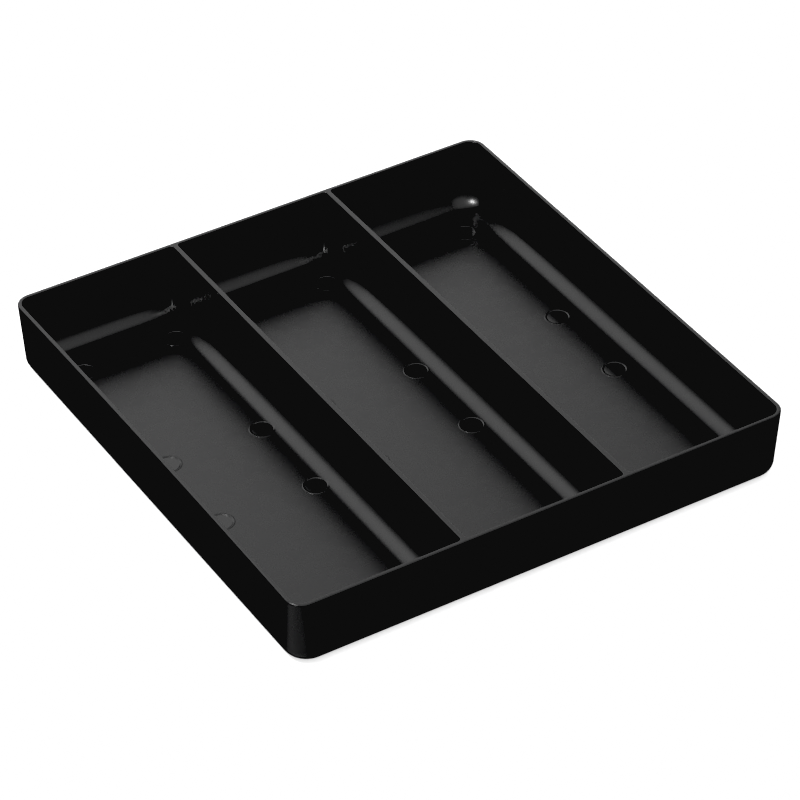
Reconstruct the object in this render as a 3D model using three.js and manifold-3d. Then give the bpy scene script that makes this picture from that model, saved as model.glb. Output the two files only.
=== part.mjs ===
// Three-compartment moulded tray, modelled in millimetres, +Z up.
// X runs along the front wall, Y from the front wall to the back wall, and the origin is on the
// surface that the tray stands on, under the middle of its outline.
// The real tray is a single injection moulding. It is designed here as one solid: a drafted,
// round-cornered block, less three coved pockets, two grooves under the dividers and the shallow
// ejector-pin marks. That solid is then parted on flat planes into its natural regions (floors,
// dividers, walls and corners), which meet face to face.
import * as THREE from 'three';
import { mergeVertices } from 'three/addons/utils/BufferGeometryUtils.js';
import Module from 'manifold-3d';

// ---------------------------------------------------------------- driving dimensions
const WIDTH = 267; // outline at the rim, along X
const DEPTH = 274.5; // outline at the rim, along Y
const HEIGHT = 36.6; // rim above the surface that the tray stands on
const WALL = 2.3; // thickness of the walls and dividers at the rim
const FLOOR = 2.2; // thickness of the compartment floors
const DRAFT = THREE.MathUtils.degToRad(0.8); // slope of every upright face, for release from the mould
const CORNER_RADIUS = 8.5; // outside of the four upright corners, in plan
const FOOT_RADIUS = 6.7; // rounding between the outer walls and the underside
const COVE_RADIUS = 10; // hollow fillet between the floors and the upright faces
const DIVIDER_X = 44; // middle of each divider, either side of X = 0
const GROOVE_WIDTH = 5.5; // groove under each divider, where two pans of the underside meet
const GROOVE_DEPTH = 2.5;
const MARK_RADIUS = 6; // ejector-pin marks in the floors
const MARK_SINK = 0.2;
const MARK_COLUMNS = [26.8, 59.6, 109.2]; // X of the marks, either side of X = 0
const MARK_ROWS = [-108.3, -29, 22, 108.3]; // Y of the marks

const ARC_STEPS = 5; // straight steps in a quarter circle
const MARK_SIDES = 16;
const CLEAR = 5; // how far a cutter runs past the face it cuts

// ---------------------------------------------------------------- positions that follow from them
const drop = Math.tan(DRAFT); // sideways travel of an upright face for each mm of height
const innerDrop = (HEIGHT - FLOOR) * drop;
const wallFootX = WIDTH / 2 - WALL - innerDrop; // inner faces of the walls, at floor level
const wallFootY = DEPTH / 2 - WALL - innerDrop;
const dividerFoot = WALL / 2 + innerDrop; // half the thickness of a divider, at floor level
const floorEdgeX = wallFootX - COVE_RADIUS; // where the flat floors end at the walls
const floorEdgeY = wallFootY - COVE_RADIUS;
const dividerZone = dividerFoot + COVE_RADIUS; // half the width that a divider and its coves take up

// ---------------------------------------------------------------- solids
const wasm = await Module();
wasm.setup();

// A closed three.js geometry as a solid that can be joined and cut.
function toSolid(geometry) {
  geometry.deleteAttribute('normal');
  geometry.deleteAttribute('uv');
  const merged = mergeVertices(geometry, 1e-4);
  return new wasm.Manifold(new wasm.Mesh({
    numProp: 3,
    vertProperties: new Float32Array(merged.attributes.position.array),
    triVerts: new Uint32Array(merged.index.array),
  }));
}

function toGeometry(solid) {
  const mesh = solid.getMesh();
  const geometry = new THREE.BufferGeometry();
  geometry.setAttribute('position', new THREE.BufferAttribute(new Float32Array(mesh.vertProperties), 3));
  geometry.setIndex(new THREE.BufferAttribute(new Uint32Array(mesh.triVerts), 1));
  const shaded = geometry.toNonIndexed();
  shaded.computeVertexNormals();
  return shaded;
}

function box(low, high) {
  const size = high.map((value, axis) => value - low[axis]);
  const centre = high.map((value, axis) => (value + low[axis]) / 2);
  return toSolid(new THREE.BoxGeometry(...size).translate(...centre));
}

// ---------------------------------------------------------------- outlines
// A rectangle in plan, centred on the origin, with round corners.
function roundedPlan(width, depth, radius) {
  const x = width / 2 - radius;
  const y = depth / 2 - radius;
  const shape = new THREE.Shape();
  [[x, y], [-x, y], [-x, -y], [x, -y]].forEach(([cornerX, cornerY], quarter) => {
    const start = quarter * Math.PI / 2;
    shape.absarc(cornerX, cornerY, radius, start, start + Math.PI / 2, false);
  });
  return shape;
}

// Section of a pocket between two upright faces, given by their places at floor level: a flat floor,
// a cove up to each face, then the drafted faces to just above the rim.
function pocketSection(low, high) {
  const top = HEIGHT + CLEAR;
  const coveTop = FLOOR + COVE_RADIUS;
  const spread = (top - FLOOR) * drop;
  const shape = new THREE.Shape();
  shape.moveTo(low + COVE_RADIUS, FLOOR);
  shape.absarc(high - COVE_RADIUS, coveTop, COVE_RADIUS, -Math.PI / 2, 0, false);
  shape.lineTo(high + spread, top);
  shape.lineTo(low - spread, top);
  shape.absarc(low + COVE_RADIUS, coveTop, COVE_RADIUS, Math.PI, 1.5 * Math.PI, false);
  return shape;
}

// Section of a groove under a divider: a V that opens downwards past the underside.
function grooveSection(x) {
  return new THREE.Shape([
    new THREE.Vector2(x - GROOVE_WIDTH, -GROOVE_DEPTH),
    new THREE.Vector2(x + GROOVE_WIDTH, -GROOVE_DEPTH),
    new THREE.Vector2(x, GROOVE_DEPTH),
  ]);
}

// ---------------------------------------------------------------- prisms
const extrude = (shape, depth) =>
  new THREE.ExtrudeGeometry(shape, { depth, bevelEnabled: false, curveSegments: ARC_STEPS });

// A section drawn as (X, Z), run along the whole of Y.
function alongY(shape) {
  const length = DEPTH + 2 * CLEAR;
  return toSolid(extrude(shape, length).rotateX(Math.PI / 2).translate(0, length / 2, 0));
}

// A section drawn as (Y, Z), run along the whole of X.
function alongX(shape) {
  const length = WIDTH + 2 * CLEAR;
  return toSolid(extrude(shape, length).rotateX(Math.PI / 2).rotateZ(Math.PI / 2).translate(-length / 2, 0, 0));
}

// Draws every upright face in towards the middle as it goes down from the rim.
function drafted(geometry) {
  const position = geometry.attributes.position;
  for (let i = 0; i < position.count; i += 1) {
    const inset = (HEIGHT - position.getZ(i)) * drop;
    position.setX(i, position.getX(i) * (1 - inset / (WIDTH / 2)));
    position.setY(i, position.getY(i) * (1 - inset / (DEPTH / 2)));
  }
  return geometry;
}

// ---------------------------------------------------------------- the moulding
// Drafted block with round corners and a rounded foot, cut off level at the rim.
function outerBlock() {
  const plan = roundedPlan(WIDTH - 2 * FOOT_RADIUS, DEPTH - 2 * FOOT_RADIUS, CORNER_RADIUS - FOOT_RADIUS);
  const block = new THREE.ExtrudeGeometry(plan, {
    depth: HEIGHT,
    bevelThickness: FOOT_RADIUS,
    bevelSize: FOOT_RADIUS,
    bevelSegments: ARC_STEPS,
    curveSegments: ARC_STEPS,
  });
  const aboveRim = box([-WIDTH, -DEPTH, HEIGHT], [WIDTH, DEPTH, 3 * HEIGHT]);
  return toSolid(drafted(block.translate(0, 0, FOOT_RADIUS))).subtract(aboveRim);
}

// The space inside the three compartments. Their coves meet in mitres, and the corners next to the
// tray's own corners are rounded to match them.
function pockets() {
  const inside = roundedPlan(WIDTH - 2 * WALL, DEPTH - 2 * WALL, CORNER_RADIUS - WALL);
  const frontToBack = alongX(pocketSection(-wallFootY, wallFootY));
  const dividerFace = DIVIDER_X + dividerFoot;
  const sideToSide = [
    [-wallFootX, -dividerFace],
    [dividerFoot - DIVIDER_X, DIVIDER_X - dividerFoot],
    [dividerFace, wallFootX],
  ].map(([low, high]) => alongY(pocketSection(low, high)));
  return sideToSide
    .reduce((joined, next) => joined.add(next))
    .intersect(frontToBack)
    .intersect(toSolid(drafted(extrude(inside, HEIGHT + CLEAR))));
}

function ejectorMark(x, y) {
  const height = MARK_SINK + CLEAR;
  const pin = new THREE.CylinderGeometry(MARK_RADIUS, MARK_RADIUS, height, MARK_SIDES).rotateX(Math.PI / 2);
  return toSolid(pin.translate(x, y, FLOOR - MARK_SINK + height / 2));
}

function moulding() {
  let tray = outerBlock().subtract(pockets());
  for (const side of [-1, 1]) {
    tray = tray.subtract(alongY(grooveSection(side * DIVIDER_X)));
    for (const x of MARK_COLUMNS) {
      for (const y of MARK_ROWS) tray = tray.subtract(ejectorMark(side * x, y));
    }
  }
  return tray;
}

// ---------------------------------------------------------------- regions of the moulding
// Each region is what a box takes from the moulding, so that no two regions share any material.
// Dividers are taken first, because they run through the coves of the front and back walls.
const outX = WIDTH / 2 + CLEAR;
const outY = DEPTH / 2 + CLEAR;
const dividerSpan = [DIVIDER_X - dividerZone, DIVIDER_X + dividerZone];
const flip = ([low, high]) => [-high, -low];

const regions = [
  ['divider_left', flip(dividerSpan), [-wallFootY, wallFootY]],
  ['divider_right', dividerSpan, [-wallFootY, wallFootY]],
  ['floor_left', [-floorEdgeX, -dividerSpan[1]], [-floorEdgeY, floorEdgeY]],
  ['floor_middle', [-dividerSpan[0], dividerSpan[0]], [-floorEdgeY, floorEdgeY]],
  ['floor_right', [dividerSpan[1], floorEdgeX], [-floorEdgeY, floorEdgeY]],
  ['wall_left', [-outX, -floorEdgeX], [-floorEdgeY, floorEdgeY]],
  ['wall_right', [floorEdgeX, outX], [-floorEdgeY, floorEdgeY]],
  ['wall_front', [-floorEdgeX, floorEdgeX], [-outY, -floorEdgeY]],
  ['wall_back', [-floorEdgeX, floorEdgeX], [floorEdgeY, outY]],
  ['corner_front_left', [-outX, -floorEdgeX], [-outY, -floorEdgeY]],
  ['corner_front_right', [floorEdgeX, outX], [-outY, -floorEdgeY]],
  ['corner_back_left', [-outX, -floorEdgeX], [floorEdgeY, outY]],
  ['corner_back_right', [floorEdgeX, outX], [floorEdgeY, outY]],
];

const blackPlastic = () => new THREE.MeshStandardMaterial({ color: 0x111112, roughness: 0.35, metalness: 0 });

const tray = new THREE.Group();
let remaining = moulding();
for (const [name, [x0, x1], [y0, y1]] of regions) {
  const cutter = box([x0, y0, -CLEAR], [x1, y1, HEIGHT + CLEAR]);
  const mesh = new THREE.Mesh(toGeometry(remaining.intersect(cutter)), blackPlastic());
  mesh.name = name;
  tray.add(mesh);
  remaining = remaining.subtract(cutter);
}

export default tray;
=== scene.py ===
# Three-compartment moulded tray: visual model, materials, light and camera.
# Metres, +Z up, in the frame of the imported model.
import math

import bpy
from mathutils import Matrix, Vector


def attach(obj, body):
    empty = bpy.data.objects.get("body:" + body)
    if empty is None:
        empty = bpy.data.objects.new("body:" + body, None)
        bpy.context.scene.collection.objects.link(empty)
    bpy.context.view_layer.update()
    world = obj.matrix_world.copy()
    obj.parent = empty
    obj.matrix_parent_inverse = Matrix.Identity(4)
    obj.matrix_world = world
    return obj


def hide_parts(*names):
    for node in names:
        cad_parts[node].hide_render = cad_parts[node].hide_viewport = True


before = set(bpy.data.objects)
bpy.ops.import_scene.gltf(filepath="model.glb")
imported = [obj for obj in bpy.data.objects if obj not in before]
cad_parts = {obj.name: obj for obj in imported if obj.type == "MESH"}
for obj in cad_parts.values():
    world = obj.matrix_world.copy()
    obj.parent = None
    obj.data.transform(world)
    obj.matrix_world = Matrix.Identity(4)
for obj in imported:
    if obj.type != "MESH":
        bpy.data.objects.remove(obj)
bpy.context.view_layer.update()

MM = 0.001
WELD = 0.004 * MM

# Places of the ejector pins in the compartments' floors, in millimetres. Some reach a little into a cove.
MARK_COLUMNS = (-111.2, -60.0, -26.8, 26.8, 59.6, 109.2)
MARK_ROWS = (-108.3, -29.0, 22.0, 108.3)

# Lengths of the moulding, in millimetres.
TRAY_SIZES = {
    "Width": 267.0,
    "Depth": 274.5,
    "Height": 36.6,
    "Wall": 2.3,
    "Divider Wall": 2.8,
    "Floor": 2.2,
    "Divider": 44.0,
    "Corner Radius": 8.5,
    "Outer Rim Radius": 0.8,
    "Inner Rim Radius": 0.5,
    "Foot Radius": 6.7,
    "Cove Radius": 10.8,
    "Mitre Radius": 1.8,
    "Groove Radius": 2.75,
    "Mark Radius": 5.3,
    "Mark Sink": 0.15,
    "Lip Radius": 1.0,
    "Left Bow": 0.9,
}
# Growth is how many times larger a corner's radius in plan is at the foot than at the rim.
TRAY_RATIOS = {"Draft": math.tan(math.radians(0.8)), "Shell Growth": 1.5, "Pocket Growth": 2.6}
TRAY_COUNTS = {"Side Cuts": 12, "Corner Steps": 10}

# Steps in each rounding of the section, and sides or points of the details.
RIM_STEPS = 7
FOOT_STEPS = 14
COVE_STEPS = 20
MARK_SIDES = 56
LIP_SIDES = 24
GROOVE_POINTS = 21

# Length of the flat beyond a rounding, as a share of its radius: just enough room for the rounding.
RIM_LEG = 1.02
FOOT_LEG = 1.05
COVE_LEG = 1.03

PIN_HEIGHT = 1.5 * MM
PIN_FLARE = 2.0  # sideways spread of a pin's flank for each unit of height
LIP_OFFSET = 0.8 * MM  # from the edge of a mark out to the crest of its lip
LIP_BURIED = 0.85  # depth of the lip's centre under the floor, as a share of its radius
GROOVE_LIP = 0.06 * MM  # how far the groove's section reaches below the underside
DISC_TOLERANCE = 0.02 * MM
BOW_REACH = 16.0 * MM  # width of the strip along the wall that moves with its bow
CREASE_ANGLE = math.radians(24)

MATH = "ShaderNodeMath"
VECTOR = "ShaderNodeVectorMath"
XYZ = "ShaderNodeCombineXYZ"


# ---------------------------------------------------------------- node trees
def add(tree, kind, settings=None, sockets=None):
    """Adds one node with its settings; a socket takes a plain value, or a link from a node or an output."""
    node = tree.nodes.new(kind)
    for name, value in (settings or {}).items():
        setattr(node, name, value)
    for socket, value in (sockets or {}).items():
        if isinstance(value, bpy.types.Node):
            value = value.outputs[0]
        if isinstance(value, bpy.types.NodeSocket):
            tree.links.new(value, node.inputs[socket])
        else:
            node.inputs[socket].default_value = value
    return node


def new_tree(name, inputs, outputs):
    """A Geometry Nodes tree with named inputs and outputs."""
    tree = bpy.data.node_groups.new(name, "GeometryNodeTree")
    for in_out, sockets in (("INPUT", inputs), ("OUTPUT", outputs)):
        for label, kind in sockets.items():
            tree.interface.new_socket(label, in_out=in_out, socket_type="NodeSocket" + kind)
    return tree, tree.nodes.new("NodeGroupInput").outputs, tree.nodes.new("NodeGroupOutput")


def rounded_section(tree, size, index, place):
    """The section of a wall, with the inset along X and the height along Z."""
    fall = add(tree, MATH, {"operation": "SUBTRACT"}, {0: size["Top"], 1: size["Foot"]})
    lean = add(tree, MATH, {"operation": "MULTIPLY"}, {0: fall, 1: size["Draft"]})
    reach = add(tree, MATH, {"operation": "ADD"}, {0: lean, 1: size["Foot Run"]})
    section = add(tree, "GeometryNodeCurvePrimitiveQuadrilateral", {"mode": "POINTS"}, {
        "Point 1": add(tree, XYZ, None, {"X": size["Rim Run"], "Z": size["Top"]}),
        "Point 2": add(tree, XYZ, None, {"Z": size["Top"]}),
        "Point 3": add(tree, XYZ, None, {"X": lean, "Z": size["Foot"]}),
        "Point 4": add(tree, XYZ, None, {"X": reach, "Z": size["Foot"]})})
    section = add(tree, "GeometryNodeSetSplineCyclic", None, {"Geometry": section, "Cyclic": False})
    # The lower bend is rounded first, because rounding the upper one renumbers the points after it.
    for bend, label in ((2, "Foot"), (1, "Rim")):
        chosen = add(tree, "FunctionNodeCompare", {"data_type": "INT", "operation": "EQUAL"},
                     {2: index, 3: bend})
        radius = add(tree, MATH, {"operation": "MULTIPLY"}, {0: chosen, 1: size[label + " Radius"]})
        section = add(tree, "GeometryNodeFilletCurve", {"mode": "POLY"},
                      {"Curve": section, "Count": size[label + " Steps"], "Radius": radius})
    return add(tree, "GeometryNodeStoreNamedAttribute", {"data_type": "FLOAT_VECTOR"},
               {"Geometry": section, "Name": "section", "Value": place})


def rounded_outline(tree, size, index, place, half):
    """A rectangle with many points along each side and an arc at each corner.

    Each point keeps its corner radius, the middle of its arc and its way out of it.
    """
    parts = add(tree, "ShaderNodeSeparateXYZ", None, {0: size["Size"]})
    outline = add(tree, "GeometryNodeCurvePrimitiveQuadrilateral", None,
                  {"Width": parts.outputs[0], "Height": parts.outputs[1]})
    outline = add(tree, "GeometryNodeSubdivideCurve", None, {"Curve": outline, "Cuts": size["Side Cuts"]})
    sections = add(tree, MATH, {"operation": "ADD"}, {0: size["Side Cuts"], 1: 1.0})
    step = add(tree, MATH, {"operation": "MODULO"}, {0: index, 1: sections})
    corner = add(tree, MATH, {"operation": "LESS_THAN"}, {0: step, 1: 0.5})
    side = add(tree, "ShaderNodeSeparateXYZ", None, {0: place})
    right = add(tree, MATH, {"operation": "GREATER_THAN"}, {0: side, 1: 0.0})
    radius = add(tree, "GeometryNodeSwitch", {"input_type": "FLOAT"},
                 {0: right, 1: size["Left Radius"], 2: size["Right Radius"]})
    rounding = add(tree, MATH, {"operation": "MULTIPLY"}, {0: corner, 1: radius})
    outline = add(tree, "GeometryNodeFilletCurve", {"mode": "POLY"},
                  {"Curve": outline, "Count": size["Corner Steps"], "Radius": rounding})
    core = add(tree, VECTOR, {"operation": "SUBTRACT"}, {0: half, 1: radius})
    core = add(tree, VECTOR, {"operation": "MULTIPLY"}, {0: core, 1: (1.0, 1.0, 0.0)})
    less = add(tree, VECTOR, {"operation": "SCALE"}, {0: core, "Scale": -1.0})
    middle = add(tree, VECTOR, {"operation": "MAXIMUM"}, {0: place, 1: less})
    middle = add(tree, VECTOR, {"operation": "MINIMUM"}, {0: middle, 1: core})
    away = add(tree, VECTOR, {"operation": "SUBTRACT"}, {0: place, 1: middle})
    away = add(tree, VECTOR, {"operation": "NORMALIZE"}, {0: away})
    spread = add(tree, XYZ, None, {"X": radius})
    for label, value in (("arc_middle", middle), ("way_out", away), ("arc_radius", spread)):
        outline = add(tree, "GeometryNodeStoreNamedAttribute", {"data_type": "FLOAT_VECTOR"},
                      {"Geometry": outline, "Name": label, "Value": value})
    return outline


def swept_wall_tree():
    """A four-point section with two rounded bends, swept round a rectangle with true mitres.

    Each point of the section is an inset from the rectangle and a height. Where the inset is larger
    than a corner's radius, the corner closes to a mitre, as the path of a round cutter does. A corner's
    radius grows smoothly from the rim down to the foot.
    """
    tree, size, out = new_tree(
        "swept_wall",
        {"Size": "Vector", "Middle": "Vector", "Left Radius": "Float", "Right Radius": "Float",
         "Top": "Float", "Foot": "Float", "Draft": "Float", "Rim Run": "Float", "Rim Radius": "Float",
         "Foot Run": "Float", "Foot Radius": "Float", "Rim Steps": "Int", "Foot Steps": "Int",
         "Corner Growth": "Float", "Side Cuts": "Int", "Corner Steps": "Int", "Hollow": "Bool"},
        {"Wall": "Geometry", "Rim Edge": "Geometry", "Foot Edge": "Geometry"})
    index = add(tree, "GeometryNodeInputIndex")
    place = add(tree, "GeometryNodeInputPosition")

    section = rounded_section(tree, size, index, place)
    half = add(tree, VECTOR, {"operation": "SCALE"}, {0: size["Size"], "Scale": 0.5})
    outline = rounded_outline(tree, size, index, place, half)

    # The sweep: arcs grow towards the foot and shrink by the inset. Where nothing is left of an arc, the
    # whole corner moves in along the mitre.
    swept = add(tree, "GeometryNodeCurveToMesh", None, {"Curve": outline, "Profile Curve": section})
    kept = {label: add(tree, "GeometryNodeInputNamedAttribute", {"data_type": "FLOAT_VECTOR"}, {0: label})
            for label in ("section", "arc_middle", "way_out", "arc_radius")}
    cut = add(tree, "ShaderNodeSeparateXYZ", None, {0: kept["section"]})
    arc = add(tree, "ShaderNodeSeparateXYZ", None, {0: kept["arc_radius"]})
    foot_bend = add(tree, MATH, {"operation": "ADD"}, {0: size["Foot"], 1: size["Foot Radius"]})
    wide = add(tree, MATH, {"operation": "MULTIPLY"}, {0: arc, 1: size["Corner Growth"]})
    widened = add(tree, "ShaderNodeMapRange", {"interpolation_type": "SMOOTHSTEP"},
                  {"Value": cut.outputs[2], 1: size["Top"], 2: foot_bend, 3: arc, 4: wide})
    left = add(tree, MATH, {"operation": "SUBTRACT"}, {0: widened, 1: cut})
    left = add(tree, MATH, {"operation": "MAXIMUM"}, {0: left, 1: 0.0})
    inset = add(tree, MATH, {"operation": "ADD"}, {0: left, 1: cut})
    shrunk = add(tree, VECTOR, {"operation": "SUBTRACT"}, {0: half, 1: inset})
    whole = add(tree, VECTOR, {"operation": "SUBTRACT"}, {0: half, 1: arc})
    ratio = add(tree, VECTOR, {"operation": "DIVIDE"}, {0: shrunk, 1: whole})
    point = add(tree, VECTOR, {"operation": "MULTIPLY"}, {0: kept["arc_middle"], 1: ratio})
    bulge = add(tree, VECTOR, {"operation": "SCALE"}, {0: kept["way_out"], "Scale": left})
    point = add(tree, VECTOR, {"operation": "ADD"}, {0: point, 1: bulge})
    point = add(tree, VECTOR, {"operation": "ADD"}, {0: point, 1: size["Middle"]})
    level = add(tree, XYZ, None, {"Z": cut.outputs[2]})
    point = add(tree, VECTOR, {"operation": "ADD"}, {0: point, 1: level})
    swept = add(tree, "GeometryNodeSetPosition", None, {"Geometry": swept, "Position": point})
    swept = add(tree, "GeometryNodeMergeByDistance", None, {"Geometry": swept, "Distance": WELD})
    swept = add(tree, "GeometryNodeFlipFaces", None, {"Mesh": swept, "Selection": size["Hollow"]})

    # Its two free edges, for the flat faces that close the moulding.
    count = add(tree, "GeometryNodeInputMeshEdgeNeighbors")
    free = add(tree, MATH, {"operation": "LESS_THAN"}, {0: count, 1: 1.5})
    height = add(tree, "ShaderNodeSeparateXYZ", None, {0: place})
    both = add(tree, MATH, {"operation": "ADD"}, {0: size["Top"], 1: size["Foot"]})
    level = add(tree, MATH, {"operation": "MULTIPLY"}, {0: both, 1: 0.5})
    for label, test in (("Rim Edge", "GREATER_THAN"), ("Foot Edge", "LESS_THAN")):
        at_end = add(tree, MATH, {"operation": test}, {0: height.outputs[2], 1: level})
        chosen = add(tree, MATH, {"operation": "MULTIPLY"}, {0: free, 1: at_end})
        edge = add(tree, "GeometryNodeMeshToCurve", None, {"Mesh": swept, "Selection": chosen})
        tree.links.new(edge.outputs[0], out.inputs[label])
    tree.links.new(swept.outputs[0], out.inputs["Wall"])
    return tree


def pin_ends(tree, size, sunk):
    """The ends of the ejector pins: each presses a flat disc into the floor, and cuts a crescent out of
    the cove where it reaches that far."""
    flare = add(tree, MATH, {"operation": "MULTIPLY_ADD"},
                {0: PIN_HEIGHT, 1: PIN_FLARE, 2: size["Mark Radius"]})
    pin = add(tree, "GeometryNodeMeshCone", None, {
        "Vertices": MARK_SIDES, "Depth": PIN_HEIGHT,
        "Radius Bottom": size["Mark Radius"], "Radius Top": flare})
    pins = add(tree, "GeometryNodeInstanceOnPoints", None, {"Points": size["Marks"], "Instance": pin})
    pins = add(tree, "GeometryNodeRealizeInstances", None, {"Geometry": pins})
    return add(tree, "GeometryNodeSetPosition", None,
               {"Geometry": pins, "Offset": add(tree, XYZ, None, {"Z": sunk})})


def mark_lips(tree, size):
    """The low ring that a pin raises around its mark: a torus, most of it under the floor."""
    radius = add(tree, MATH, {"operation": "ADD"}, {0: size["Mark Radius"], 1: LIP_OFFSET})
    ring = add(tree, "GeometryNodeCurvePrimitiveCircle", None, {"Resolution": MARK_SIDES, "Radius": radius})
    wire = add(tree, "GeometryNodeCurvePrimitiveCircle", None,
               {"Resolution": LIP_SIDES, "Radius": size["Lip Radius"]})
    ring = add(tree, "GeometryNodeCurveToMesh", None, {"Curve": ring, "Profile Curve": wire})
    rings = add(tree, "GeometryNodeInstanceOnPoints", None, {"Points": size["Marks"], "Instance": ring})
    rings = add(tree, "GeometryNodeRealizeInstances", None, {"Geometry": rings})
    level = add(tree, MATH, {"operation": "MULTIPLY_ADD"},
                {0: size["Lip Radius"], 1: -LIP_BURIED, 2: size["Floor"]})
    return add(tree, "GeometryNodeSetPosition", None,
               {"Geometry": rings, "Offset": add(tree, XYZ, None, {"Z": level})})


def divider_grooves(tree, size):
    """The groove under each divider: two pans of the underside meet there, each with a rounded edge."""
    reach = add(tree, XYZ, None, {"X": size["Groove Radius"]})
    back = add(tree, VECTOR, {"operation": "SCALE"}, {0: reach, "Scale": -1.0})
    section = add(tree, "GeometryNodeCurvePrimitiveLine", None, {"Start": back, "End": reach})
    section = add(tree, "GeometryNodeResampleCurve", None, {"Curve": section, "Count": GROOVE_POINTS})
    place = add(tree, "GeometryNodeInputPosition")
    across = add(tree, "ShaderNodeSeparateXYZ", None, {0: place})
    share = add(tree, MATH, {"operation": "DIVIDE"}, {0: across, 1: size["Groove Radius"]})
    share = add(tree, MATH, {"operation": "ABSOLUTE"}, {0: share})
    share = add(tree, MATH, {"operation": "SUBTRACT"}, {0: 1.0, 1: share})
    square = add(tree, MATH, {"operation": "MULTIPLY"}, {0: share, 1: share})
    square = add(tree, MATH, {"operation": "SUBTRACT"}, {0: 1.0, 1: square})
    root = add(tree, MATH, {"operation": "SQRT"}, {0: square})
    rise = add(tree, MATH, {"operation": "SUBTRACT"}, {0: 1.0, 1: root})
    rise = add(tree, MATH, {"operation": "MULTIPLY"}, {0: rise, 1: size["Groove Radius"]})
    rise = add(tree, MATH, {"operation": "SUBTRACT"}, {0: GROOVE_LIP, 1: rise})
    section = add(tree, "GeometryNodeSetPosition", None,
                  {"Geometry": section, "Offset": add(tree, XYZ, None, {"Y": rise})})
    section = add(tree, "GeometryNodeSetSplineCyclic", None, {"Geometry": section, "Cyclic": True})
    grooves = []
    for side in (-1.0, 1.0):
        at = add(tree, MATH, {"operation": "MULTIPLY"}, {0: size["Divider"], 1: side})
        path = add(tree, "GeometryNodeCurvePrimitiveLine", None, {
            "Start": add(tree, XYZ, None, {"X": at, "Y": size["Depth"]}),
            "End": add(tree, VECTOR, {"operation": "MULTIPLY"},
                       {0: add(tree, XYZ, None, {"X": at, "Y": size["Depth"]}), 1: (1.0, -1.0, 1.0)})})
        groove = add(tree, "GeometryNodeCurveToMesh", None,
                     {"Curve": path, "Profile Curve": section, "Fill Caps": True})
        grooves.append(groove)
    return grooves


def mark_discs(tree, solid, sunk):
    """Gives the discs left by the pins an attribute of their own, for the finish."""
    normal = add(tree, "ShaderNodeSeparateXYZ", None, {0: add(tree, "GeometryNodeInputNormal")})
    place = add(tree, "GeometryNodeInputPosition")
    level = add(tree, "ShaderNodeSeparateXYZ", None, {0: place})
    off = add(tree, MATH, {"operation": "SUBTRACT"}, {0: level.outputs[2], 1: sunk})
    off = add(tree, MATH, {"operation": "ABSOLUTE"}, {0: off})
    flat = add(tree, MATH, {"operation": "LESS_THAN"}, {0: off, 1: DISC_TOLERANCE})
    upward = add(tree, MATH, {"operation": "GREATER_THAN"}, {0: normal.outputs[2], 1: 0.99})
    pin_end = add(tree, MATH, {"operation": "MULTIPLY"}, {0: flat, 1: upward})
    return add(tree, "GeometryNodeStoreNamedAttribute", {"data_type": "FLOAT", "domain": "FACE"},
               {"Geometry": solid, "Name": "pin_end", "Value": pin_end})


def bow_left_wall(tree, solid, size):
    """Draws the left wall in towards the compartment, most at its rim and at the middle of its length."""
    place = add(tree, "ShaderNodeSeparateXYZ", None, {0: add(tree, "GeometryNodeInputPosition")})
    lift = add(tree, MATH, {"operation": "DIVIDE"}, {0: place.outputs[2], 1: size["Height"]})
    lift = add(tree, MATH, {"operation": "MULTIPLY"}, {0: lift, 1: lift})
    edge = add(tree, MATH, {"operation": "MULTIPLY"}, {0: size["Width"], 1: 0.5})
    strip = add(tree, MATH, {"operation": "SUBTRACT"}, {0: edge, 1: BOW_REACH})
    left = add(tree, MATH, {"operation": "MULTIPLY"}, {0: place, 1: -1.0})
    near_wall = add(tree, "ShaderNodeMapRange", {"interpolation_type": "SMOOTHSTEP"},
                    {"Value": left, 1: strip, 2: edge})
    along = add(tree, MATH, {"operation": "DIVIDE"}, {0: place.outputs[1], 1: size["Depth"]})
    along = add(tree, MATH, {"operation": "MULTIPLY"}, {0: along, 1: along})
    along = add(tree, MATH, {"operation": "MULTIPLY_ADD"}, {0: along, 1: -4.0, 2: 1.0})
    bow = size["Left Bow"]
    for factor in (near_wall, along, lift):
        bow = add(tree, MATH, {"operation": "MULTIPLY"}, {0: bow, 1: factor})
    return add(tree, "GeometryNodeSetPosition", None,
               {"Geometry": solid, "Offset": add(tree, XYZ, None, {"X": bow})})


def shaded(tree, solid):
    """Smooth shading everywhere but at the mitres and the edges of cuts."""
    for label in ("section", "arc_middle", "way_out", "arc_radius"):
        solid = add(tree, "GeometryNodeRemoveAttribute", None, {"Geometry": solid, "Name": label})
    solid = add(tree, "GeometryNodeSetShadeSmooth", None, {"Geometry": solid, "Shade Smooth": True})
    angle = add(tree, "GeometryNodeInputMeshEdgeAngle")
    crisp = add(tree, MATH, {"operation": "GREATER_THAN"}, {0: angle, 1: CREASE_ANGLE})
    return add(tree, "GeometryNodeSetShadeSmooth", {"domain": "EDGE"},
               {"Geometry": solid, "Selection": crisp, "Shade Smooth": False})


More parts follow.
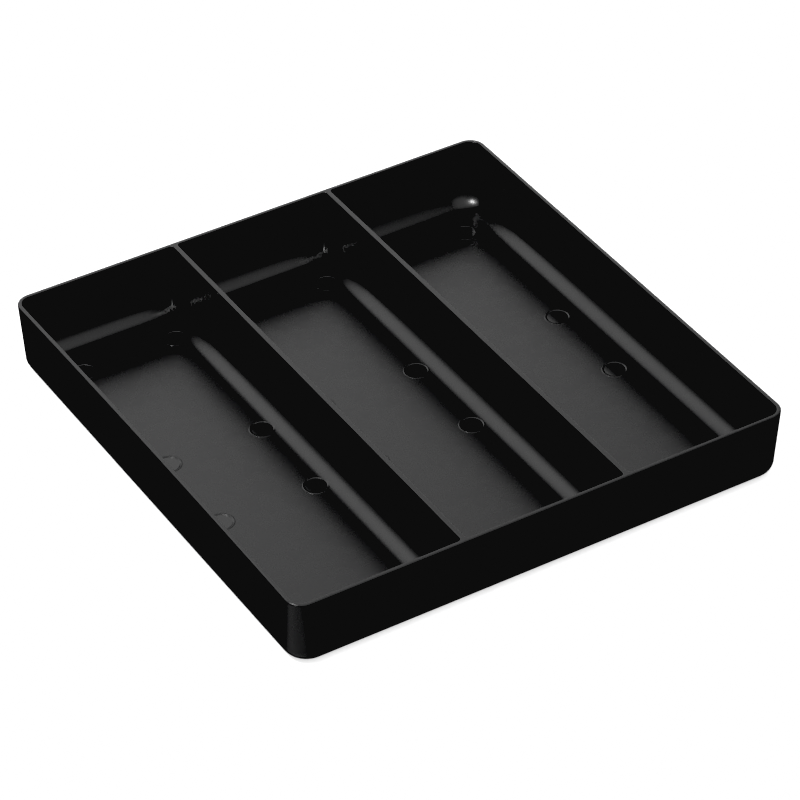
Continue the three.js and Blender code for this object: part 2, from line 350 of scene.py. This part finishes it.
def tray_tree(swept_wall):
    """The whole moulding: outer shell, three coved pockets, pin marks and the grooves underneath."""
    inputs = {label: "Float" for label in (*TRAY_SIZES, *TRAY_RATIOS)}
    tree, size, out = new_tree(
        "tray_moulding",
        {"Marks": "Geometry", **inputs, "Side Cuts": "Int", "Corner Steps": "Int", "Plastic": "Material"},
        {"Tray": "Geometry"})
    walls = []
    rim_edges = []
    floor_edges = []

    # Outline sizes at the rim: the tray itself, the outer compartments and the middle one.
    half_width = add(tree, MATH, {"operation": "MULTIPLY"}, {0: size["Width"], 1: 0.5})
    half_divider = add(tree, MATH, {"operation": "MULTIPLY"}, {0: size["Divider Wall"], 1: 0.5})
    inner_edge = add(tree, MATH, {"operation": "ADD"}, {0: size["Divider"], 1: half_divider})
    taken = add(tree, MATH, {"operation": "ADD"}, {0: inner_edge, 1: size["Wall"]})
    side_width = add(tree, MATH, {"operation": "SUBTRACT"}, {0: half_width, 1: taken})
    two_dividers = add(tree, MATH, {"operation": "MULTIPLY"}, {0: size["Divider"], 1: 2.0})
    middle_width = add(tree, MATH, {"operation": "SUBTRACT"}, {0: two_dividers, 1: size["Divider Wall"]})
    two_walls = add(tree, MATH, {"operation": "MULTIPLY"}, {0: size["Wall"], 1: 2.0})
    inner_depth = add(tree, MATH, {"operation": "SUBTRACT"}, {0: size["Depth"], 1: two_walls})
    right_middle = add(tree, MATH, {"operation": "MULTIPLY_ADD"}, {0: side_width, 1: 0.5, 2: inner_edge})
    left_middle = add(tree, MATH, {"operation": "MULTIPLY"}, {0: right_middle, 1: -1.0})
    inner_radius = add(tree, MATH, {"operation": "SUBTRACT"}, {0: size["Corner Radius"], 1: size["Wall"]})
    mitre = size["Mitre Radius"]
    rim_out = add(tree, MATH, {"operation": "MULTIPLY"}, {0: size["Outer Rim Radius"], 1: RIM_LEG})
    rim_in = add(tree, MATH, {"operation": "MULTIPLY"}, {0: size["Inner Rim Radius"], 1: -RIM_LEG})
    foot_run = add(tree, MATH, {"operation": "MULTIPLY"}, {0: size["Foot Radius"], 1: FOOT_LEG})
    cove_run = add(tree, MATH, {"operation": "MULTIPLY"}, {0: size["Cove Radius"], 1: COVE_LEG})
    steps = {"Draft": size["Draft"], "Side Cuts": size["Side Cuts"], "Corner Steps": size["Corner Steps"]}

    shell = add(tree, "GeometryNodeGroup", {"node_tree": swept_wall}, {
        "Size": add(tree, XYZ, None, {"X": size["Width"], "Y": size["Depth"]}),
        "Left Radius": size["Corner Radius"], "Right Radius": size["Corner Radius"],
        "Top": size["Height"], "Foot": 0.0, "Rim Run": rim_out, "Rim Radius": size["Outer Rim Radius"],
        "Foot Run": foot_run, "Foot Radius": size["Foot Radius"],
        "Rim Steps": RIM_STEPS, "Foot Steps": FOOT_STEPS,
        "Corner Growth": size["Shell Growth"], "Hollow": False, **steps})
    walls.append(shell.outputs["Wall"])
    rim_edges.append(shell.outputs["Rim Edge"])
    for middle, width, left_radius, right_radius in (
            (left_middle, side_width, inner_radius, mitre),
            (0.0, middle_width, mitre, mitre),
            (right_middle, side_width, mitre, inner_radius)):
        pocket = add(tree, "GeometryNodeGroup", {"node_tree": swept_wall}, {
            "Size": add(tree, XYZ, None, {"X": width, "Y": inner_depth}),
            "Middle": add(tree, XYZ, None, {"X": middle}),
            "Left Radius": left_radius, "Right Radius": right_radius,
            "Top": size["Height"], "Foot": size["Floor"],
            "Rim Run": rim_in, "Rim Radius": size["Inner Rim Radius"],
            "Foot Run": cove_run, "Foot Radius": size["Cove Radius"],
            "Rim Steps": RIM_STEPS, "Foot Steps": COVE_STEPS,
            "Corner Growth": size["Pocket Growth"], "Hollow": True, **steps})
        walls.append(pocket.outputs["Wall"])
        rim_edges.append(pocket.outputs["Rim Edge"])
        floor_edges.append(pocket.outputs["Foot Edge"])

    # The flat faces: rim, compartment floors and underside.
    faces = []
    for edges, level, flip in ((rim_edges, size["Height"], False), (floor_edges, size["Floor"], False),
                               ([shell.outputs["Foot Edge"]], 0.0, True)):
        joined = add(tree, "GeometryNodeJoinGeometry")
        for edge in edges:
            tree.links.new(edge, joined.inputs[0])
        filled = add(tree, "GeometryNodeFillCurve", {"mode": "TRIANGLES"}, {"Curve": joined})
        lifted = add(tree, "GeometryNodeSetPosition", None,
                     {"Geometry": filled, "Offset": add(tree, XYZ, None, {"Z": level})})
        faces.append(add(tree, "GeometryNodeFlipFaces", None, {"Mesh": lifted, "Selection": flip}))
    joined = add(tree, "GeometryNodeJoinGeometry")
    for part in walls + [face.outputs[0] for face in faces]:
        tree.links.new(part, joined.inputs[0])
    solid = add(tree, "GeometryNodeMergeByDistance", None, {"Geometry": joined, "Distance": WELD})

    # The details: raised lips first, and then the pin marks inside them and the grooves are cut out.
    sunk = add(tree, MATH, {"operation": "SUBTRACT"}, {0: size["Floor"], 1: size["Mark Sink"]})
    solid = add(tree, "GeometryNodeMeshBoolean", {"operation": "UNION", "solver": "MANIFOLD"},
                {"Mesh 2": solid})
    tree.links.new(mark_lips(tree, size).outputs[0], solid.inputs["Mesh 2"])
    for cutter in [pin_ends(tree, size, sunk)] + divider_grooves(tree, size):
        solid = add(tree, "GeometryNodeMeshBoolean", {"operation": "DIFFERENCE", "solver": "MANIFOLD"},
                    {"Mesh 1": solid, "Mesh 2": cutter})
    solid = mark_discs(tree, solid, sunk)
    solid = bow_left_wall(tree, solid, size)
    solid = shaded(tree, solid)
    solid = add(tree, "GeometryNodeRealizeInstances", None, {"Geometry": solid})
    solid = add(tree, "GeometryNodeSetMaterial", None, {"Geometry": solid, "Material": size["Plastic"]})
    tree.links.new(solid.outputs[0], out.inputs["Tray"])
    return tree


def run_tree(name, tree, mesh, values):
    """Evaluates a tree on a mesh and keeps the result as a plain mesh."""
    source = bpy.data.objects.new(name + "_source", mesh)
    bpy.context.scene.collection.objects.link(source)
    modifier = source.modifiers.new(name, "NODES")
    modifier.node_group = tree
    for item in tree.interface.items_tree:
        if item.in_out == "INPUT" and item.name in values:
            modifier[item.identifier] = values[item.name]
    evaluated = source.evaluated_get(bpy.context.evaluated_depsgraph_get())
    result = bpy.data.meshes.new_from_object(evaluated)
    result.name = name
    bpy.data.objects.remove(source)
    return result


# ---------------------------------------------------------------- finishes
def colour(hex_code):
    """Linear colour of an sRGB hex code."""
    parts = [int(hex_code[i:i + 2], 16) / 255 for i in (1, 3, 5)]
    return tuple(c / 12.92 if c <= 0.04045 else ((c + 0.055) / 1.055) ** 2.4 for c in parts) + (1.0,)


def satin_black_abs():
    """Black ABS, injection moulded in a fine-blasted mould: soft-edged reflections over a near-black body."""
    material = bpy.data.materials.new("satin_black_abs_moulded")
    material.use_nodes = True
    tree = material.node_tree
    tree.nodes.clear()
    where = add(tree, "ShaderNodeTexCoord").outputs["Object"]

    # Mould texture: blasted grain, drawn coarse at about 0.9 mm across so that it shows.
    grain = add(tree, "ShaderNodeTexNoise", None,
                {"Vector": where, "Scale": 1.0 / (0.9 * MM), "Detail": 3.0, "Roughness": 0.6})
    # Flow and shrinkage leave the flat floors very slightly uneven, over a centimetre or two.
    sink = add(tree, "ShaderNodeTexNoise", None,
               {"Vector": where, "Scale": 1.0 / (16.0 * MM), "Detail": 2.0, "Roughness": 0.45})
    # Handling rubs the grain a little smoother in patches.
    patch = add(tree, "ShaderNodeTexNoise", None,
                {"Vector": where, "Scale": 1.0 / (7.0 * MM), "Detail": 4.0, "Roughness": 0.6})
    gloss = add(tree, "ShaderNodeMapRange", None,
                {"Value": patch, "From Min": 0.3, "From Max": 0.7, "To Min": 0.26, "To Max": 0.29})
    pin_end = add(tree, "ShaderNodeAttribute", {"attribute_type": "GEOMETRY", "attribute_name": "pin_end"})
    gloss = add(tree, "ShaderNodeMix", {"data_type": "FLOAT"},
                {"Factor": pin_end.outputs["Fac"], 2: gloss, 3: 0.15})
    even = add(tree, "ShaderNodeBump", None, {"Height": sink, "Strength": 0.5, "Distance": 0.05 * MM})
    rough = add(tree, "ShaderNodeBump", None,
                {"Height": grain, "Normal": even, "Strength": 0.1, "Distance": 0.012 * MM})
    shader = add(tree, "ShaderNodeBsdfPrincipled", None, {
        "Base Color": colour("#070708"), "Metallic": 0.0, "IOR": 1.53,
        "Roughness": gloss, "Normal": rough})
    add(tree, "ShaderNodeOutputMaterial", None, {"Surface": shader})
    return material


def backlit_table():
    """White acrylic table top, evenly lit, so that only the contact under the tray shows grey."""
    material = bpy.data.materials.new("white_acrylic_table")
    material.use_nodes = True
    tree = material.node_tree
    tree.nodes.clear()
    shader = add(tree, "ShaderNodeBsdfPrincipled", None, {
        "Base Color": colour("#f4f4f4"), "Roughness": 0.6, "Specular IOR Level": 0.2,
        "Emission Color": colour("#ffffff"), "Emission Strength": 0.6})
    add(tree, "ShaderNodeOutputMaterial", None, {"Surface": shader})
    return material


# ---------------------------------------------------------------- the tray
plastic = satin_black_abs()
mark_points = bpy.data.meshes.new("mark_points")
mark_points.from_pydata([(x * MM, y * MM, 0.0) for x in MARK_COLUMNS for y in MARK_ROWS], [], [])
sizes = {label: size * MM for label, size in TRAY_SIZES.items()}
sizes.update(TRAY_RATIOS)
sizes.update(TRAY_COUNTS)
sizes["Plastic"] = plastic
mesh = run_tree("tray_moulding", tray_tree(swept_wall_tree()), mark_points, sizes)
tray = bpy.data.objects.new("tray_moulding", mesh)
bpy.context.scene.collection.objects.link(tray)
normals = tray.modifiers.new("face_weighted_normals", "WEIGHTED_NORMAL")
normals.mode = "FACE_AREA"
normals.keep_sharp = True
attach(tray, "root")
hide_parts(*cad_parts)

# ---------------------------------------------------------------- stage
TABLE_HALF = 20.0
TABLE_LEVEL = -0.1 * MM  # just under the tray, so that the two flat faces don't coincide
table_mesh = bpy.data.meshes.new("table_top")
table_mesh.from_pydata([(-TABLE_HALF, -TABLE_HALF, TABLE_LEVEL), (TABLE_HALF, -TABLE_HALF, TABLE_LEVEL),
                        (TABLE_HALF, TABLE_HALF, TABLE_LEVEL), (-TABLE_HALF, TABLE_HALF, TABLE_LEVEL)],
                       [], [(0, 1, 2, 3)])
table_mesh.materials.append(backlit_table())
table = bpy.data.objects.new("table_top", table_mesh)
table.visible_glossy = False
bpy.context.scene.collection.objects.link(table)


def softbox(name, place, aim, turn, width, height, radiance):
    """A rectangular soft light at a place, facing the way of aim, with the same brightness all over."""
    data = bpy.data.lights.new(name, "AREA")
    data.shape = "RECTANGLE"
    data.size = width
    data.size_y = height
    data.energy = radiance * math.pi * width * height
    light = bpy.data.objects.new(name, data)
    facing = Vector(aim).to_track_quat("-Z", "Y").to_matrix().to_4x4()
    light.matrix_world = Matrix.Translation(place) @ facing @ Matrix.Rotation(turn, 4, "Z")
    bpy.context.scene.collection.objects.link(light)


softbox("window_left", (-1.4, 4.1, 4.3), (0.0, -1.0, 0.0), math.radians(18.0), 5.2, 4.2, 1.36)
softbox("window_right", (3.4, 4.0, 2.35), (0.0, -1.0, 0.0), math.radians(18.0), 5.0, 3.3, 0.92)
softbox("overhead", (0.02, -0.32, 1.0), (0.0, 0.0, -1.0), 0.0, 1.05, 1.35, 0.72)
softbox("corner_lamp", (-0.53, 0.05, 0.95), (0.57, 0.07, -0.82), 0.0, 0.2, 0.2, 60.0)

world = bpy.data.worlds.new("studio")
bpy.context.scene.world = world
world.use_nodes = True
world.node_tree.nodes.clear()
direction = add(world.node_tree, "ShaderNodeTexCoord")
height = add(world.node_tree, "ShaderNodeSeparateXYZ", None, {0: direction.outputs["Generated"]})
rise = add(world.node_tree, "ShaderNodeMapRange", None,
           {"Value": height.outputs[2], "From Min": -0.02, "From Max": 0.1, "To Min": 0.05, "To Max": 0.7})
toward = add(world.node_tree, VECTOR, {"operation": "DOT_PRODUCT"},
             {0: direction.outputs["Generated"], 1: (-0.741, -0.281, -0.61)})
glow = add(world.node_tree, "ShaderNodeMapRange", {"interpolation_type": "SMOOTHSTEP"},
           {"Value": toward.outputs["Value"], "From Min": 0.48, "From Max": 0.95, "To Max": 0.62})
rise = add(world.node_tree, MATH, {"operation": "ADD"}, {0: rise, 1: glow})
studio = add(world.node_tree, "ShaderNodeBackground", None, {"Color": colour("#ffffff"), "Strength": rise})
seen = add(world.node_tree, "ShaderNodeBackground", None, {"Color": colour("#ffffff"), "Strength": 1.0})
direct = add(world.node_tree, "ShaderNodeLightPath")
mixed = add(world.node_tree, "ShaderNodeMixShader", None,
            {0: direct.outputs["Is Camera Ray"], 1: studio, 2: seen})
add(world.node_tree, "ShaderNodeOutputWorld", None, {"Surface": mixed})

# ---------------------------------------------------------------- camera
VIEW_HEADING = 30.76
VIEW_DROP = 37.58
VIEW_ROLL = -0.97
VIEW_DISTANCE = 1.91671
VIEW_LENS = 177.81525  # millimetres, on a sensor 36 mm wide
VIEW_TARGET = Vector((9.15, 8.46, 0.0)) * MM
heading, drop, roll = (math.radians(a) for a in (VIEW_HEADING, VIEW_DROP, VIEW_ROLL))
ahead = Vector((math.cos(drop) * math.sin(heading), math.cos(drop) * math.cos(heading), -math.sin(drop)))
level = Vector((math.cos(heading), -math.sin(heading), 0.0))
upward = level.cross(ahead)
right = math.cos(roll) * level + math.sin(roll) * upward
up = math.cos(roll) * upward - math.sin(roll) * level
lens = bpy.data.cameras.new("camera")
lens.sensor_width = 36.0
lens.lens = VIEW_LENS
camera = bpy.data.objects.new("camera", lens)
camera.matrix_world = Matrix.Translation(VIEW_TARGET - ahead * VIEW_DISTANCE) @ Matrix(
    (right, up, -ahead)).transposed().to_4x4()
bpy.context.scene.collection.objects.link(camera)
bpy.context.scene.camera = camera

# Plain studio processing: white stays white, and the black point sits just above the plastic's own glow.
look = bpy.context.scene.view_settings
look.view_transform = "Standard"
look.use_curve_mapping = True
look.curve_mapping.black_level = (0.034, 0.034, 0.034)
look.curve_mapping.extend = "HORIZONTAL"
look.curve_mapping.curves[3].points[0].location = (0.0, 0.004)
look.curve_mapping.update()
